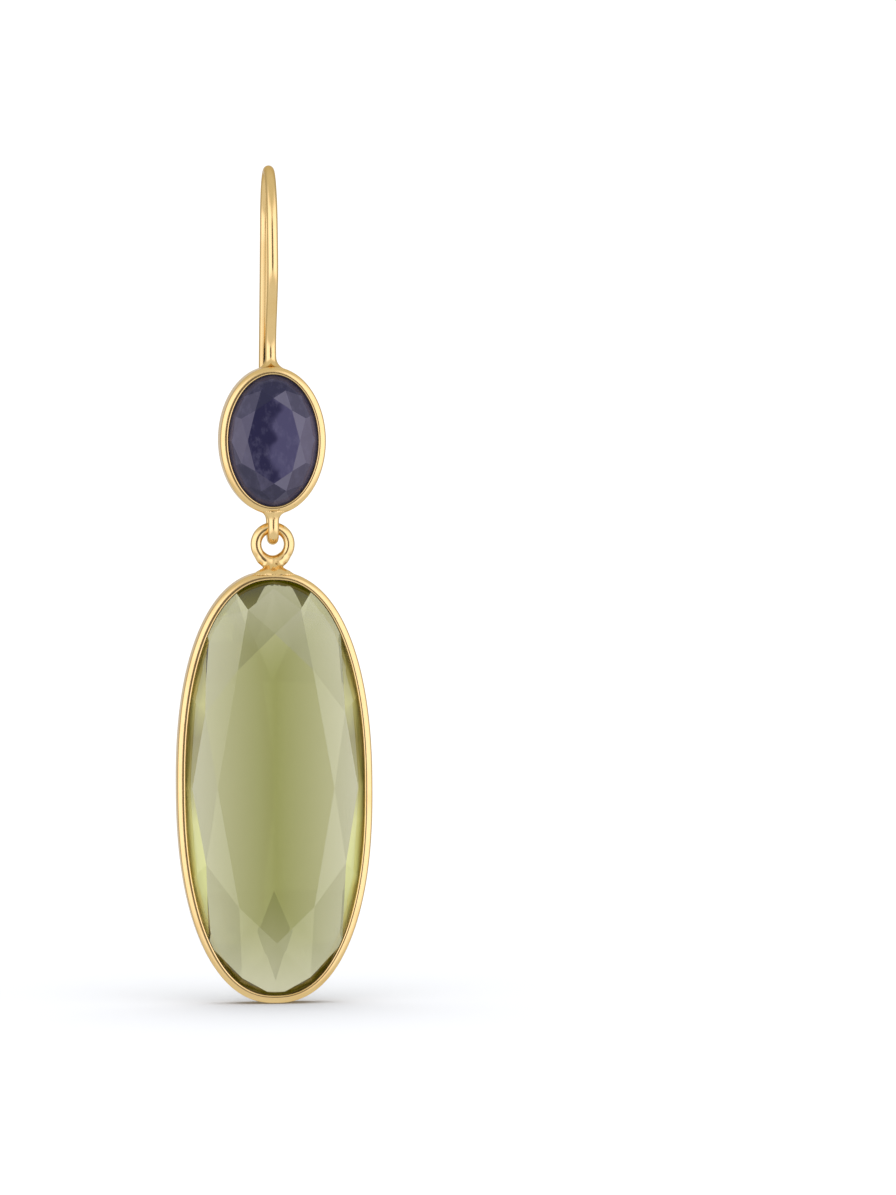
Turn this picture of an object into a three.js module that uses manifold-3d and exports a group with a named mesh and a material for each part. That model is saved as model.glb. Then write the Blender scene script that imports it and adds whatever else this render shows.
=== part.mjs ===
// A drop earring on a French ear wire: an oval stone in a bezel, and a long oval drop that hangs
// from it by two linked rings. Lengths are in millimetres. The front of the stones faces -Y, +X is
// to the right and +Z is up. The origin is where the ear lobe sits: the inner top of the wire's arch.
import * as THREE from "three";
import { mergeVertices } from "three/addons/utils/BufferGeometryUtils.js";
import Module from "manifold-3d";

const wasm = await Module();
wasm.setup();

// ---- Driving dimensions ----

const WIRE_RADIUS = 0.41; // the ear wire and the upper loop
const RING_WIRE_RADIUS = 0.41;
const GAP = 0.06; // between a stone and its setting, and between the two linked rings
const SUNK = 0.25; // how far a soldered end goes into the wall that carries it
const TUBE_SIDES = 12;

const EAR_WIRE = {
  archHalfDepth: 3.6, // half the distance between the two legs
  archRise: 5.2, // from the arch's ends up to its top
  frontBend: -7.5, // the height where the front leg starts to lean back
  baseBend: -12.4, // the height where it turns straight down again
  baseDepth: -1.2, // its depth where it meets the upper band
  tailDepth: 6.6, // the back leg's end
  tailHeight: -18.8,
  steps: 56,
};

// Both bands share one wall. Reach is measured in from the outer face, and depth back from the front edge.
const BAND = {
  wall: 0.4,
  rimRadius: 0.33, // the rounded front edge
  lipReach: 0.63,
  lipFront: 0.22,
  lipBack: 0.3,
  lipRoot: 0.4,
  girdleFront: 0.48, // the front of the stone's girdle
  seatGap: 0.08, // from the girdle's back to the seat
  seatReach: 0.75,
  seatSlope: 0.29,
};

// Each stone has a crown in front and a pavilion behind. Rises are measured from its girdle.
// footRise is where each main facet would meet the outline, tipRise where two of them meet, and
// halfFootRise where the half facets end.
const UPPER = {
  outline: { halfWidth: 3.97, halfHeight: 5.53, power: 2 },
  centre: { depth: -1.8, height: -19.8 },
  depth: 3,
  outlineSteps: 48,
  girdle: 0.3,
  crown: {
    rise: 0.9,
    diagonal: 45,
    footRise: { side: 0.1, diagonal: 0.1, top: 0.1, bottom: 0.1 },
    tipRise: { side: 0.66, top: 0.66, bottom: 0.66 },
    halfFootRise: -0.05,
    table: { halfWidth: 1.96, halfHeight: 3.2, corner: 45 },
  },
  pavilion: {
    rise: 2.4,
    diagonal: 45,
    footRise: { side: 0.05, diagonal: 0.05, top: 0.05, bottom: 0.05 },
    tipRise: { side: 1.6, top: 1.6, bottom: 1.6 },
    halfFootRise: 0,
    keelHalf: 1.2,
  },
};

const DROP = {
  outline: { halfWidth: 7.35, halfHeight: 16.24, power: 2.3 },
  centre: { depth: -1.8, height: -45.9 },
  depth: 2.4,
  outlineSteps: 64,
  girdle: 0.4,
  crown: {
    rise: 1.3,
    diagonal: 45,
    footRise: { side: 0.15, diagonal: -0.15, top: 0.15, bottom: -0.1 },
    tipRise: { side: 0.9, top: 0.8, bottom: 0.4 },
    halfFootRise: -0.2,
    table: { halfWidth: 4.4, halfHeight: 11.65, corner: 50 },
  },
  pavilion: {
    rise: 2.6,
    diagonal: 45,
    footRise: { side: 0.05, diagonal: 0.05, top: 0.05, bottom: 0.05 },
    tipRise: { side: 0.8, top: 1.7, bottom: 1.7 },
    halfFootRise: -0.12,
    keelHalf: 7.9,
  },
};

const RING = { radius: 1.25, centreHeight: -27.62, steps: 32 };
const PIVOT = {
  depth: UPPER.centre.depth,
  height: RING.centreHeight + RING.radius, // the centre of the ring's top wire
};
const LOOP = { legOffset: 1.05, steps: 20 };
const NECK = { waist: 0.79, waistHeight: -29.3, thickness: 0.9, ringHalf: 1.05, bandHalf: 1.4 };
const COLLAR = { baseRadius: 0.66, length: 0.45 };

const COLOURS = { gold: 0xe9c47f, blue: 0x34345a, green: 0xaab07c };

// ---- Solids ----

// A closed three.js geometry as a manifold solid.
function solidOf(geometry) {
  const bare = geometry.clone();
  bare.deleteAttribute("normal");
  bare.deleteAttribute("uv");
  const merged = mergeVertices(bare, 1e-4);
  return new wasm.Manifold(
    new wasm.Mesh({
      numProp: 3,
      vertProperties: merged.attributes.position.array,
      triVerts: new Uint32Array(merged.index.array),
    }),
  );
}

function geometryOf(solid) {
  const mesh = solid.getMesh();
  const geometry = new THREE.BufferGeometry();
  geometry.setAttribute("position", new THREE.BufferAttribute(mesh.vertProperties, mesh.numProp));
  geometry.setIndex(new THREE.BufferAttribute(mesh.triVerts, 1));
  return geometry;
}

function joined(geometries) {
  return geometryOf(geometries.map(solidOf).reduce((all, next) => all.add(next)));
}

function circleShape(radius) {
  const corners = Array.from({ length: TUBE_SIDES }, (_, i) => {
    const angle = (2 * Math.PI * i) / TUBE_SIDES;
    return new THREE.Vector2(radius * Math.cos(angle), radius * Math.sin(angle));
  });
  return new THREE.Shape(corners);
}

function tube(path, radius, steps) {
  return new THREE.ExtrudeGeometry(circleShape(radius), { extrudePath: path, steps });
}

// A closed surface through rings of points, each ring joined to the next and the last to the first.
function closedLoft(rings) {
  const size = rings[0].length;
  const positions = rings.flat().flatMap((p) => [p.x, p.y, p.z]);
  const index = [];
  rings.forEach((_, i) => {
    const next = (i + 1) % rings.length;
    for (let j = 0; j < size; j += 1) {
      const across = (j + 1) % size;
      const [a, b, c, d] = [i * size + j, next * size + j, next * size + across, i * size + across];
      index.push(a, b, c, a, c, d);
    }
  });
  const geometry = new THREE.BufferGeometry();
  geometry.setAttribute("position", new THREE.Float32BufferAttribute(positions, 3));
  geometry.setIndex(index);
  return geometry;
}

// ---- Outlines ----

// A point of a superellipse at an angle in degrees, and the outward normal there. y stands for height.
function outlineAt({ halfWidth, halfHeight, power }, degrees) {
  const angle = THREE.MathUtils.degToRad(degrees);
  const bow = (value, exponent) => Math.sign(value) * Math.abs(value) ** exponent;
  const across = bow(Math.cos(angle), 2 / power);
  const up = bow(Math.sin(angle), 2 / power);
  const normal = new THREE.Vector2(
    bow(across, power - 1) / halfWidth,
    bow(up, power - 1) / halfHeight,
  ).normalize();
  return { point: new THREE.Vector2(halfWidth * across, halfHeight * up), normal };
}

function insetPoint(outline, degrees, inset) {
  const { point, normal } = outlineAt(outline, degrees);
  return point.addScaledVector(normal, -inset);
}

// ---- Bezel band ----

// The band's section, as [reach, depth] corners, round from the back of the outer face.
function bandSection(depth, girdle) {
  const { wall, rimRadius, lipReach, lipFront, lipBack, lipRoot, seatReach, seatSlope } = BAND;
  const seat = BAND.girdleFront + girdle + BAND.seatGap;
  const rim = [0, 30, 60, 90].map((degrees) => {
    const angle = THREE.MathUtils.degToRad(degrees);
    return [rimRadius * (1 - Math.cos(angle)), rimRadius * (1 - Math.sin(angle))];
  });
  return [
    [0, depth],
    ...rim,
    [lipReach, lipFront],
    [lipReach, lipBack],
    [wall, lipRoot],
    [wall, seat],
    [seatReach, seat + seatSlope],
    [seatReach, depth],
  ];
}

function bandGeometry({ outline, centre, depth, girdle, outlineSteps }) {
  const front = centre.depth - depth / 2;
  const section = bandSection(depth, girdle);
  const rings = Array.from({ length: outlineSteps }, (_, i) =>
    section.map(([reach, back]) => {
      const p = insetPoint(outline, (360 * i) / outlineSteps, reach);
      return new THREE.Vector3(p.x, front + back, centre.height + p.y);
    }),
  );
  return closedLoft(rings);
}

// ---- Faceted stones ----

// A facet's plane gives its rise above the girdle at a point {x, y}.
const riseOn = (plane, { x, y }) => plane.across * x + plane.up * y + plane.base;
const level = (rise) => ({ across: 0, up: 0, base: rise });

// The plane that is footRise high at a place on the outline and climbs square to the outline to the peak.
function facetPlane({ point, normal }, peak, footRise) {
  const slope = (peak.rise - footRise) / (normal.dot(point) - normal.dot(peak));
  return { across: -slope * normal.x, up: -slope * normal.y, base: footRise + slope * normal.dot(point) };
}

// The corner {x, y, rise} where three facets meet.
function meeting(first, second, third) {
  const [a, b, c] = [first.across - second.across, first.up - second.up, second.base - first.base];
  const [d, e, f] = [second.across - third.across, second.up - third.up, third.base - second.base];
  const area = a * e - b * d;
  const at = { x: (c * e - b * f) / area, y: (a * f - c * d) / area };
  return { ...at, rise: riseOn(first, at) };
}

// The eight main facets, counted from the right and up: where each stands on the outline, and the
// kinds of its foot and of the tip it shares with the next one.
const mainFacets = (diagonal) => [
  { degrees: 0, foot: "side", tip: "side" },
  { degrees: diagonal, foot: "diagonal", tip: "top" },
  { degrees: 90, foot: "top", tip: "top" },
  { degrees: 180 - diagonal, foot: "diagonal", tip: "side" },
  { degrees: 180, foot: "side", tip: "side" },
  { degrees: 180 + diagonal, foot: "diagonal", tip: "bottom" },
  { degrees: 270, foot: "bottom", tip: "bottom" },
  { degrees: 360 - diagonal, foot: "diagonal", tip: "side" },
];

// The corners of one side of a brilliant cut. Each two main facets meet at a tip, and from the tip
// two half facets fall to the girdle. A main facet's own foot counts where the half facets meet
// before they reach the girdle.
function sideCorners(stoneOutline, cut, steps, peaksAt) {
  const mains = mainFacets(cut.diagonal).map(({ degrees, foot, tip }, i) => {
    const peaks = peaksAt(i).map((peak) => ({ ...peak, rise: cut.rise }));
    const plane = facetPlane(stoneOutline(degrees), peaks[0], cut.footRise[foot]);
    return { degrees, peaks, plane, tipRise: cut.tipRise[tip] };
  });
  const gaps = mains.map((main, i) => {
    const next = mains[(i + 1) % mains.length];
    const tip = meeting(main.plane, next.plane, level(main.tipRise));
    const turn = (next.degrees - main.degrees + 360) % 360;
    const halves = [0.25, 0.75].map((share) =>
      facetPlane(stoneOutline(main.degrees + share * turn), tip, cut.halfFootRise),
    );
    return { tip, halves };
  });
  const feet = mains
    .map(({ degrees, plane }, i) => {
      const foot = meeting(plane, gaps.at(i - 1).halves[1], gaps[i].halves[0]);
      return { ...foot, ...stoneOutline(degrees) };
    })
    .filter(({ x, y, point, normal }) => normal.x * (x - point.x) + normal.y * (y - point.y) < 0);
  const planes = [...mains.map(({ plane }) => plane), ...gaps.flatMap(({ halves }) => halves)];
  const rim = Array.from({ length: steps }, (_, i) => {
    const { x, y } = stoneOutline((360 * i) / steps).point;
    return { x, y, rise: Math.min(...planes.map((plane) => riseOn(plane, { x, y }))) };
  });
  return [...mains.flatMap(({ peaks }) => peaks), ...gaps.map(({ tip }) => tip), ...feet, ...rim];
}

// A stone with a flat table in front and a keel behind, sized to its band. A cut stone bulges
// everywhere, so it is the hull of its corners.
function stoneGeometry({ outline, centre, depth, girdle, outlineSteps, crown, pavilion }) {
  const inset = BAND.wall + GAP;
  const stoneOutline = (degrees) => {
    const { normal } = outlineAt(outline, degrees);
    return { point: insetPoint(outline, degrees, inset), normal };
  };
  const { table } = crown;
  const tableAngles = [0, table.corner, 90, 180 - table.corner];
  const tablePeaks = (i) => {
    const angle = THREE.MathUtils.degToRad(tableAngles[i % 4] + (i > 3 ? 180 : 0));
    return [{ x: table.halfWidth * Math.cos(angle), y: table.halfHeight * Math.sin(angle) }];
  };
  const keel = [{ x: 0, y: pavilion.keelHalf }, { x: 0, y: -pavilion.keelHalf }];
  const keelPeaks = (i) => {
    if (i % 4 === 0) return keel;
    return [i < 4 ? keel[0] : keel[1]];
  };
  const girdleFront = centre.depth - depth / 2 + BAND.girdleFront;
  const place = (corner, depthAt) => [corner.x, depthAt, centre.height + corner.y];
  const front = sideCorners(stoneOutline, crown, outlineSteps, tablePeaks);
  const back = sideCorners(stoneOutline, pavilion, outlineSteps, keelPeaks);
  return geometryOf(wasm.Manifold.hull([
    ...front.map((corner) => place(corner, girdleFront - corner.rise)),
    ...back.map((corner) => place(corner, girdleFront + girdle + corner.rise)),
  ]));
}

// ---- Wires, rings and solder ----

const sideView = (depth, height) => new THREE.Vector3(0, depth, height);

function earWirePath() {
  const { archHalfDepth, archRise, frontBend, baseBend, baseDepth, tailDepth, tailHeight } = EAR_WIRE;
  const archBase = WIRE_RADIUS - archRise;
  const arch = [150, 120, 90, 60, 30].map((degrees) => {
    const angle = THREE.MathUtils.degToRad(degrees);
    return sideView(archHalfDepth * Math.cos(angle), archBase + archRise * Math.sin(angle));
  });
  const bandTop = UPPER.centre.height + UPPER.outline.halfHeight;
  return new THREE.CatmullRomCurve3([
    sideView(baseDepth, bandTop - SUNK),
    sideView(baseDepth, baseBend),
    sideView(-archHalfDepth, frontBend),
    sideView(-archHalfDepth, archBase),
    ...arch,
    sideView(archHalfDepth, archBase),
    sideView(tailDepth, tailHeight),
  ]);
}

function tailTip() {
  const ball = new THREE.SphereGeometry(WIRE_RADIUS, TUBE_SIDES, TUBE_SIDES / 2);
  return ball.translate(0, EAR_WIRE.tailDepth, EAR_WIRE.tailHeight);
}

// A U of wire whose two legs go into the underside of the upper band.
function loopGeometry() {
  const { legOffset, steps } = LOOP;
  const bandBottom = UPPER.centre.height - UPPER.outline.halfHeight;
  const innerBottom = PIVOT.height - RING_WIRE_RADIUS - GAP;
  const turnHeight = innerBottom - WIRE_RADIUS + legOffset;
  const turn = [180, 210, 240, 270, 300, 330, 360].map((degrees) => {
    const angle = THREE.MathUtils.degToRad(degrees);
    return sideView(
      PIVOT.depth + legOffset * Math.cos(angle),
      turnHeight + legOffset * Math.sin(angle),
    );
  });
  const legTop = bandBottom + SUNK;
  const path = new THREE.CatmullRomCurve3([
    sideView(PIVOT.depth - legOffset, legTop),
    ...turn,
    sideView(PIVOT.depth + legOffset, legTop),
  ]);
  return tube(path, WIRE_RADIUS, steps);
}

// A cone of solder round a wire that stands on a band, widest at the band. up is 1 above the band
// and -1 below.
function collar(depth, bandFace, up) {
  const { baseRadius, length } = COLLAR;
  const profile = [
    [0, -SUNK],
    [baseRadius, -SUNK],
    [baseRadius, 0],
    [(baseRadius + WIRE_RADIUS) / 2.1, length * 0.4],
    [WIRE_RADIUS, length],
    [0, length],
  ].map(([radius, height]) => new THREE.Vector2(radius, height));
  const cone = new THREE.LatheGeometry(profile, TUBE_SIDES);
  cone.rotateX((up * Math.PI) / 2);
  return cone.translate(0, depth, bandFace);
}

function ringGeometry() {
  const ring = new THREE.TorusGeometry(RING.radius, RING_WIRE_RADIUS, TUBE_SIDES, RING.steps);
  ring.rotateX(Math.PI / 2);
  return ring.translate(0, PIVOT.depth, RING.centreHeight);
}

// The solder between the ring and the drop's band, waisted from side to side.
function neckGeometry() {
  const { waist, waistHeight, thickness, ringHalf, bandHalf } = NECK;
  const top = RING.centreHeight - RING.radius;
  const bottom = DROP.centre.height + DROP.outline.halfHeight - SUNK;
  const shape = new THREE.Shape();
  shape.moveTo(-bandHalf, bottom);
  shape.lineTo(bandHalf, bottom);
  shape.quadraticCurveTo(waist, bottom + SUNK, waist, waistHeight);
  shape.quadraticCurveTo(waist, top, ringHalf, top);
  shape.lineTo(-ringHalf, top);
  shape.quadraticCurveTo(-waist, top, -waist, waistHeight);
  shape.quadraticCurveTo(-waist, bottom + SUNK, -bandHalf, bottom);
  const extent = { depth: thickness, bevelEnabled: false, curveSegments: 4 };
  const neck = new THREE.ExtrudeGeometry(shape, extent);
  neck.rotateX(Math.PI / 2);
  return neck.translate(0, PIVOT.depth + thickness / 2, 0);
}

function earHook() {
  const bandTop = UPPER.centre.height + UPPER.outline.halfHeight;
  const bandBottom = UPPER.centre.height - UPPER.outline.halfHeight;
  const legDepths = [PIVOT.depth - LOOP.legOffset, PIVOT.depth + LOOP.legOffset];
  return joined([
    bandGeometry(UPPER),
    tube(earWirePath(), WIRE_RADIUS, EAR_WIRE.steps),
    tailTip(),
    collar(EAR_WIRE.baseDepth, bandTop, 1),
    loopGeometry(),
    ...legDepths.map((depth) => collar(depth, bandBottom, -1)),
  ]);
}

function dropSetting() {
  return joined([bandGeometry(DROP), neckGeometry(), ringGeometry()]);
}

// ---- The earring ----

function piece(name, geometry, look) {
  const mesh = new THREE.Mesh(geometry, new THREE.MeshStandardMaterial(look));
  mesh.name = name;
  return mesh;
}

const gold = { color: COLOURS.gold, roughness: 0.16, metalness: 1 };
const earring = new THREE.Group();
earring.add(
  piece("ear_hook", earHook(), gold),
  piece("upper_stone", stoneGeometry(UPPER), { color: COLOURS.blue, roughness: 0.12, metalness: 0 }),
  piece("drop_setting", dropSetting(), gold),
  piece("drop_stone", stoneGeometry(DROP), { color: COLOURS.green, roughness: 0.05, metalness: 0 }),
);

export default earring;
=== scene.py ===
import math

import bpy
import numpy as np
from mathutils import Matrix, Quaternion, Vector


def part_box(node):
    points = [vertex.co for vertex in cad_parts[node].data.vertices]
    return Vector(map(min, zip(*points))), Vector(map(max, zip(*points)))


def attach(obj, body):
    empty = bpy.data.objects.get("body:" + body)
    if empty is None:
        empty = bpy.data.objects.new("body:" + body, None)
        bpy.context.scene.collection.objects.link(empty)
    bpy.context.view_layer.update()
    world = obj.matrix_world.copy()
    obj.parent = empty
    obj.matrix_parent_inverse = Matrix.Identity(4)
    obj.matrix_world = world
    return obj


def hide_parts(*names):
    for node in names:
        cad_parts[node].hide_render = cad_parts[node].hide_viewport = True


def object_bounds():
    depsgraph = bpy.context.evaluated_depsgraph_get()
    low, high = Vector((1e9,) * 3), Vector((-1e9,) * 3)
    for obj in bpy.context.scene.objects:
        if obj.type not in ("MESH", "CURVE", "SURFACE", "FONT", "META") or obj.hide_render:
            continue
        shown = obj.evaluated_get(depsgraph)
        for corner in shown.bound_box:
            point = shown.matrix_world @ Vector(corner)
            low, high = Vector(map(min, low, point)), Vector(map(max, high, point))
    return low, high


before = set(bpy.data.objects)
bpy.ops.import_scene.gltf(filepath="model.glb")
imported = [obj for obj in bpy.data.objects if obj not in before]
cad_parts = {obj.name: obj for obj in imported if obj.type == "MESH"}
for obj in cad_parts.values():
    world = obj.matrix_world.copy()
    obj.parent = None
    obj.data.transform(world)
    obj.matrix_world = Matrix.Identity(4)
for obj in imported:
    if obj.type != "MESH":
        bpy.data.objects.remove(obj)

# The frame gives the sizes. It is in metres, and the gold shapes are worked out in millimetres.
CAD_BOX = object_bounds()
LOW, HIGH = CAD_BOX
HEIGHT = HIGH.z - LOW.z
MM = 0.001


def box_in_mm(node):
    """The low and the high corner of a CAD node's box. Rounding takes off what short floats add."""
    return np.round(np.array([tuple(corner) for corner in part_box(node)]) / MM, 3)


# ---- Node helpers ----


class Tree:
    """A node tree that is built in code. A node is made with its inputs, as values or other sockets."""

    def __init__(self, owner):
        owner.use_nodes = True
        self.tree = owner.node_tree
        self.tree.nodes.clear()

    def node(self, kind, inputs=(), **settings):
        made = self.tree.nodes.new(kind)
        for name, value in settings.items():
            setattr(made, name, value)
        for name, value in dict(inputs).items():
            self.feed(made.inputs[name], value)
        return made

    def feed(self, socket, value):
        if isinstance(value, bpy.types.NodeSocket):
            self.tree.links.new(value, socket)
        else:
            socket.default_value = value

    def math(self, operation, *values):
        return self.node("ShaderNodeMath", dict(enumerate(values)), operation=operation).outputs[0]

    def dot(self, a, b):
        made = self.node("ShaderNodeVectorMath", {0: a, 1: b}, operation="DOT_PRODUCT")
        return made.outputs["Value"]

    def stretch(self, vector, scales):
        return self.node("ShaderNodeVectorMath", {0: vector, 1: scales}, operation="MULTIPLY").outputs[0]

    def multiply(self, a, b):
        made = self.node("ShaderNodeMix", {0: 1.0, 6: a, 7: b}, data_type="RGBA", blend_type="MULTIPLY")
        return made.outputs[2]

    def noise(self, at, scale, detail=2.0, roughness=0.5):
        inputs = {"Vector": at, "Scale": scale, "Detail": detail, "Roughness": roughness}
        return self.node("ShaderNodeTexNoise", inputs).outputs["Fac"]

    def spread(self, value, low, high, to_low=0.0, to_high=1.0, smooth=False):
        inputs = {"Value": value, "From Min": low, "From Max": high, "To Min": to_low, "To Max": to_high}
        kind = "SMOOTHSTEP" if smooth else "LINEAR"
        return self.node("ShaderNodeMapRange", inputs, interpolation_type=kind).outputs["Result"]

    def share(self, value, start, end, most=1.0):
        """How far a value has gone from start to end: 0 at the start, and the most at the end."""
        return self.spread(value, start, end, 0.0, most)

    def blend(self, factor, a, b):
        made = self.node("ShaderNodeMix", {0: factor, 6: a, 7: b}, data_type="RGBA")
        return made.outputs[2]

    def ramp(self, value, stops):
        made = self.node("ShaderNodeValToRGB", {"Fac": value})
        elements = made.color_ramp.elements
        while len(elements) < len(stops):
            elements.new(1.0)
        for element, (position, colour) in zip(elements, stops):
            element.position = position
            element.color = (*colour, 1.0)
        return made.outputs["Color"]

    def bump(self, height, distance):
        return self.node("ShaderNodeBump", {"Height": height, "Distance": distance}).outputs["Normal"]


# ---- Camera ----

AZIMUTH = math.radians(-4.3)
ELEVATION = math.radians(2.75)
ROLL = math.radians(-0.3)  # the picture's verticals lean a little
DISTANCE = 9.5 * HEIGHT
FRAME_HEIGHT = 1.427 * HEIGHT  # what the picture takes in
AIM_RIGHT = 0.21 * HEIGHT  # the earring hangs left of the picture's centre
AIM_DOWN = 0.0175 * HEIGHT
SENSOR = 36.0


def camera_side():
    """The direction from the earring to the camera."""
    flat = math.cos(ELEVATION)
    return Vector((math.sin(AZIMUTH) * flat, -math.cos(AZIMUTH) * flat, math.sin(ELEVATION)))


def make_camera():
    data = bpy.data.cameras.new("camera")
    data.sensor_width = SENSOR
    data.lens = SENSOR * DISTANCE / FRAME_HEIGHT
    camera = bpy.data.objects.new("camera", data)
    bpy.context.scene.collection.objects.link(camera)
    setting_low, setting_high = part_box("drop_setting")
    axis = Vector((0.0, (setting_low.y + setting_high.y) / 2, (LOW.z + HIGH.z) / 2))
    camera.location = axis + DISTANCE * camera_side()
    aim = axis + Vector((AIM_RIGHT, 0.0, -AIM_DOWN))
    level = (aim - camera.location).to_track_quat("-Z", "Y")
    camera.rotation_euler = (level @ Quaternion((0.0, 0.0, 1.0), ROLL)).to_euler()
    bpy.context.scene.camera = camera


# ---- Studio ----

FLOOR_DROP = 0.05 * MM
FLOOR_SIDE = 1.2 * HEIGHT
FLOOR_FRONT = 2.0 * HEIGHT
FLOOR_BACK = 1.2 * HEIGHT
FLOOR_WHITE = (0.42, 0.43, 0.455, 1.0)
SUN = 4.9
SUN_ANGLE = math.radians(84.0)
LIGHT = (0.98, 0.945, 1.02)  # the two broad lights, to the camera's left and right
PLAIN = (1.0, 0.97, 0.92)  # the wall behind the camera
BACK = (1.0, 0.99, 0.92)  # the wall behind the earring
# The walls: the azimuth from the camera's side in degrees, positive to its right, and the colour and
# strength of the light there.
STUDIO = (
    (-180, BACK, 0.85),
    (-162, BACK, 0.82),
    (-140, BACK, 0.62),
    (-110, BACK, 0.6),
    (-84, LIGHT, 1.66),
    (-24, LIGHT, 1.66),
    (-10, PLAIN, 0.9),
    (10, PLAIN, 0.9),
    (24, LIGHT, 1.66),
    (84, LIGHT, 1.66),
    (110, BACK, 0.6),
    (140, BACK, 0.62),
    (162, BACK, 0.82),
    (180, BACK, 0.85),
)
PEAK = 2.0  # a ramp holds no colour above 1, so the studio's colours are shares of this strength
CEILING = (0.40, 0.385, 0.33, 1.0)
CEILING_RISE = (0.35, 0.8)  # the sines of the heights between which the walls turn into the ceiling
BELOW = (0.44, 0.435, 0.42, 1.0)
BELOW_RISE = (-0.55, -0.15)
OPENING = (0.10, 0.09, 0.08, 1.0)  # the dark round opening that the camera looks through
OPENING_EDGE = (21.0, 14.0)
BACKDROP = 1.1  # the white that the camera sees behind the earring


def make_world():
    world = bpy.data.worlds.new("studio")
    bpy.context.scene.world = world
    tree = Tree(world)
    direction = tree.node("ShaderNodeTexCoord").outputs["Generated"]
    towards = (math.sin(AZIMUTH), -math.cos(AZIMUTH), 0.0)
    right = (math.cos(AZIMUTH), math.sin(AZIMUTH), 0.0)
    azimuth = tree.math("ARCTAN2", tree.dot(direction, right), tree.dot(direction, towards))
    turn = tree.spread(azimuth, -math.pi, math.pi)
    stops = [
        ((degrees + 180) / 360, tuple(part * strength / PEAK for part in colour))
        for degrees, colour, strength in STUDIO
    ]
    walls = tree.ramp(turn, stops)
    rise = tree.dot(direction, (0.0, 0.0, 1.0))
    ceiling = tree.blend(tree.spread(rise, *CEILING_RISE, smooth=True), walls, CEILING)
    room = tree.blend(tree.spread(rise, *BELOW_RISE, smooth=True), BELOW, ceiling)
    nearness = tree.dot(direction, tuple(camera_side()))
    wide, narrow = (math.cos(math.radians(edge)) for edge in OPENING_EDGE)
    tent = tree.blend(tree.spread(nearness, wide, narrow, smooth=True), room, OPENING)
    lit = tree.node("ShaderNodeBackground", {"Color": tent, "Strength": PEAK})
    white = tree.node("ShaderNodeBackground", {"Color": (1, 1, 1, 1), "Strength": BACKDROP})
    seen = tree.node("ShaderNodeLightPath").outputs["Is Camera Ray"]
    mixed = tree.node("ShaderNodeMixShader", {0: seen, 1: lit.outputs[0], 2: white.outputs[0]})
    tree.node("ShaderNodeOutputWorld", {"Surface": mixed.outputs[0]})


def make_floor():
    mesh = bpy.data.meshes.new("floor")
    corners = (
        (-FLOOR_SIDE, -FLOOR_FRONT, 0.0),
        (FLOOR_SIDE, -FLOOR_FRONT, 0.0),
        (FLOOR_SIDE, FLOOR_BACK, 0.0),
        (-FLOOR_SIDE, FLOOR_BACK, 0.0),
    )
    mesh.from_pydata(corners, [], [(0, 1, 2, 3)])
    floor = bpy.data.objects.new("floor", mesh)
    bpy.context.scene.collection.objects.link(floor)
    floor.location.z = LOW.z - FLOOR_DROP
    material = bpy.data.materials.new("floor")
    tree = Tree(material)
    surface = tree.node("ShaderNodeBsdfDiffuse", {"Color": FLOOR_WHITE})
    tree.node("ShaderNodeOutputMaterial", {"Surface": surface.outputs[0]})
    mesh.materials.append(material)
    floor.visible_glossy = False  # neither the gold nor the stones show the floor's edges
    floor.visible_transmission = False


def make_overhead_light():
    """A broad soft light straight above, which casts the small soft shadow under the drop."""
    data = bpy.data.lights.new("overhead", "SUN")
    data.energy = SUN
    data.angle = SUN_ANGLE
    light = bpy.data.objects.new("overhead", data)
    light.visible_glossy = False
    light.visible_transmission = False
    light.location.z = HIGH.z + HEIGHT
    bpy.context.scene.collection.objects.link(light)


# ---- Gold shapes, in millimetres ----

WIRE = 0.41  # the radius of every wire
SUNK = 0.25  # how far a wire's end goes into a band
LINK_GAP = 0.06  # between the drop's ring and the loop that it hangs in
RIGHT = (1.0, 0.0, 0.0)
AROUND = 24  # points round a wire
QUARTER = np.linspace(0.0, math.pi / 2, 13)
SHARP = math.radians(38)  # faces that meet at more than this have a sharp edge between them

SETTING_LOW, SETTING_HIGH = box_in_mm("drop_setting")
MIDDLE = (SETTING_LOW[1] + SETTING_HIGH[1]) / 2  # the depth of both bands' middles, and of the rings

# A band's section, as (reach in from the outer face, depth back from the front edge). Its front is
# rolled over: it rises slowly from the outer face to the crest, and falls steeply to the lip.
BACK_EDGE = 0.12
RIM_BACK = 0.34
LIP_FRONT = 0.2
LIP_BACK = 0.3
LIP_ROOT = 0.4
WALL = 0.4
GIRDLE_FRONT = 0.48  # the front of the stone's girdle, behind which the seat is
SEAT_GAP = 0.08  # from the girdle's back to the seat
SEAT_REACH = 0.75
SEAT_SLOPE = 0.29
WALL_CELL = 0.17
STONE_INSET = 0.46  # from a band's outer face to its stone's outline
TRACE = 40  # points that a band's outline is measured by, for each that it gets


def band_round(stone, **settings):
    """A bezel band, whose outline lies evenly outside its stone's. Its power is 2 for an ellipse."""
    low, high = box_in_mm(stone)
    half = (high - low)[[0, 2]] / 2 + STONE_INSET
    centre = (low[2] + high[2]) / 2
    return {"half": half, "centre": centre, "top": centre + half[1], "bottom": centre - half[1], **settings}


UPPER_BAND = band_round(
    "upper_stone",
    power=2.0,
    depth=3.0,
    girdle=0.3,
    crest=0.48,
    lip=0.61,
    steps=240,
)
DROP_BAND = band_round(
    "drop_stone",
    power=2.3,
    depth=SETTING_HIGH[1] - SETTING_LOW[1],
    girdle=0.4,
    crest=0.48,
    lip=0.63,
    steps=400,
)

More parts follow.
